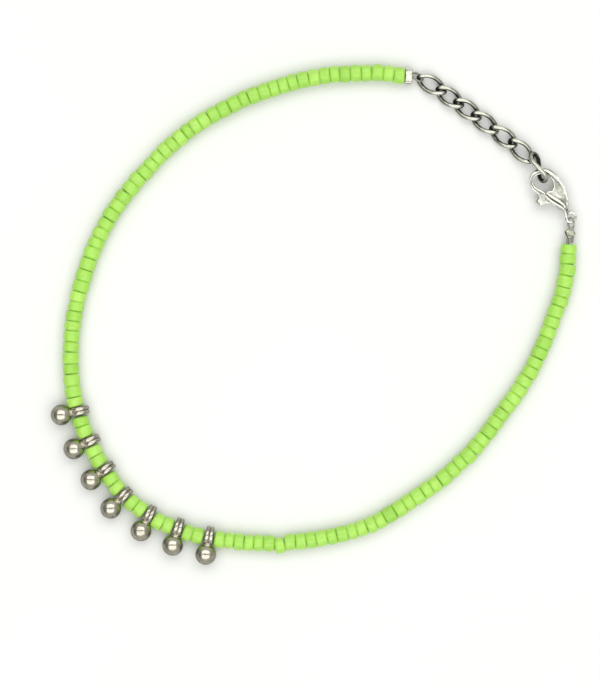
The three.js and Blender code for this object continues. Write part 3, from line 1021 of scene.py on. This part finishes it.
def wire_loop(name, node_name, root, held, roll):
    """A beading wire from its crimp round what it holds and back, with nearly parallel strands."""
    along = (held - root).normalized()
    reach = (held - root).length
    side = Matrix.Rotation(roll, 3, along) @ UP.cross(along).normalized()
    over = along.cross(side)
    out = [(-LOOP_HIDDEN, LOOP_HIDDEN_WIDTH)]
    out += [(reach * share, width) for share, width in LOOP_STRAND]
    bend = []
    for step in range(1, LOOP_BEND_STEPS):
        angle = math.pi / 2 - step / LOOP_BEND_STEPS * math.pi
        bend.append((reach + LOOP_HALF_WIDTH * math.cos(angle), math.sin(angle)))
    back = [(far, -width) for far, width in reversed(out)]
    knots = [root + along * far + side * (width * LOOP_HALF_WIDTH)
             for far, width in out + bend + back]
    path = smooth_run(knots, LOOP_SPAN_STEPS)
    parts = MeshParts()
    parts.add(wire_rings(path, lambda index: over, LOOP_WIRE_RADIUS, WIRE_SIDES, False), False)
    parts.piece(name, COATED_WIRE, "wire_coat", [node_name])


def loop_root(node_name, crimp_name):
    """Where a loop's strands leave their crimp: the middle of its points nearest to the crimp."""
    crimp = middle_of(crimp_name)
    points = [vertex.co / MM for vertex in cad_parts[node_name].data.vertices]
    near = sorted(points, key=lambda point: (point - crimp).length)[:LOOP_ROOT_POINTS]
    return sum(near, Vector()) / len(near)


def build_loops():
    root = loop_root("start_wire_loop", "start_crimp")
    heading = math.radians(LINK_TURNS[0][0])
    link_way = Vector((math.cos(heading), math.sin(heading), 0))
    held = middle_of("chain_link_1") - link_way * (LINK_LENGTH / 2 - LINK_WIRE_RADIUS)
    wire_loop("start_wire_loop_coated", "start_wire_loop", root, held,
              START_LOOP_ROLL - LINK_TWIST)
    root = loop_root("end_wire_loop", "end_crimp")
    eye = CLASP_EYE + SHIFT
    rim = eye + (root - eye).normalized() * EYE_RIM
    wire_loop("end_wire_loop_coated", "end_wire_loop", root, rim, END_LOOP_ROLL)


# Camera, light and floor

# The camera's lengths are in millimetres, the light's and the floor's in metres
CAMERA_HEIGHT = 500.0
SENSOR = 36.0
VIEW_HEIGHT = 123.4
VIEW_MIDDLE = Vector((-2.63, -5.57, BEAD_RADIUS))
LIGHT_HEIGHT = 1.2
LIGHT_RADIANCE = 1.9
# How far the softboxes reach sideways, and where each starts and ends, as shares of their height
LIGHT_REACH = 0.95
LIGHT_SPANS = {"north_box": (0.18, 1.12), "south_box": (-1.12, -0.04)}
FLOOR_HALF_SIZE = 1.0


def build_camera():
    data = bpy.data.cameras.new("camera")
    data.sensor_width = SENSOR
    data.lens = SENSOR * CAMERA_HEIGHT / VIEW_HEIGHT
    data.clip_start = 0.01
    camera = new_object("camera", data)
    camera.location = (VIEW_MIDDLE + SHIFT + UP * CAMERA_HEIGHT) * MM
    bpy.context.scene.camera = camera


def build_light():
    """Two broad softboxes overhead, north and south, with a narrow gap between them."""
    for name, (start, end) in LIGHT_SPANS.items():
        data = bpy.data.lights.new(name, "AREA")
        data.shape = "RECTANGLE"
        data.size = 2 * LIGHT_HEIGHT * LIGHT_REACH
        data.size_y = LIGHT_HEIGHT * (end - start)
        data.energy = LIGHT_RADIANCE * math.pi * data.size * data.size_y
        lamp = new_object(name, data)
        lamp.location = (0, LIGHT_HEIGHT * (start + end) / 2, LIGHT_HEIGHT)


def build_world():
    """A pale room, brighter to the north and south, dimmer to the west and dim overhead."""
    world = bpy.data.worlds.new("pale_room")
    world.use_nodes = True
    tree = world.node_tree
    way = tree.nodes.new("ShaderNodeTexCoord").outputs["Generated"]
    split = node(tree, "ShaderNodeSeparateXYZ", Vector=way)
    height = ramp(tree, split.outputs["Z"], (0.0, grey(0.62)), (0.35, grey(0.8)),
                  (0.7, grey(0.75)), (0.95, grey(0.22)))
    aside = tree.nodes.new("ShaderNodeMath")
    aside.operation = "ABSOLUTE"
    tree.links.new(split.outputs["Y"], aside.inputs[0])
    side_glow = ramp(tree, aside.outputs[0], (0.1, grey(0.66)), (0.7, grey(1.0)))
    west = tree.nodes.new("ShaderNodeMath")
    west.operation = "MULTIPLY"
    west.inputs[1].default_value = -1.0
    tree.links.new(split.outputs["X"], west.inputs[0])
    west_glow = ramp(tree, west.outputs[0], (0.3, grey(1.0)), (0.85, grey(0.5)))
    glow = multiply(tree, multiply(tree, height, side_glow), west_glow)
    tree.links.new(glow, tree.nodes["Background"].inputs["Color"])
    bpy.context.scene.world = world
    bpy.context.scene.view_settings.view_transform = "Standard"


def build_floor():
    half = FLOOR_HALF_SIZE
    mesh = bpy.data.meshes.new("floor")
    mesh.from_pydata([(-half, -half, 0), (half, -half, 0), (half, half, 0), (-half, half, 0)],
                     [], [(0, 1, 2, 3)])
    mesh.materials.append(floor_material())
    new_object("floor", mesh)


build_camera()
charm_stations = build_beads()
build_thread()
build_charms(charm_stations)
build_links()
build_clasp()
build_crimps()
build_tail()
build_loops()
build_light()
build_world()
build_floor()
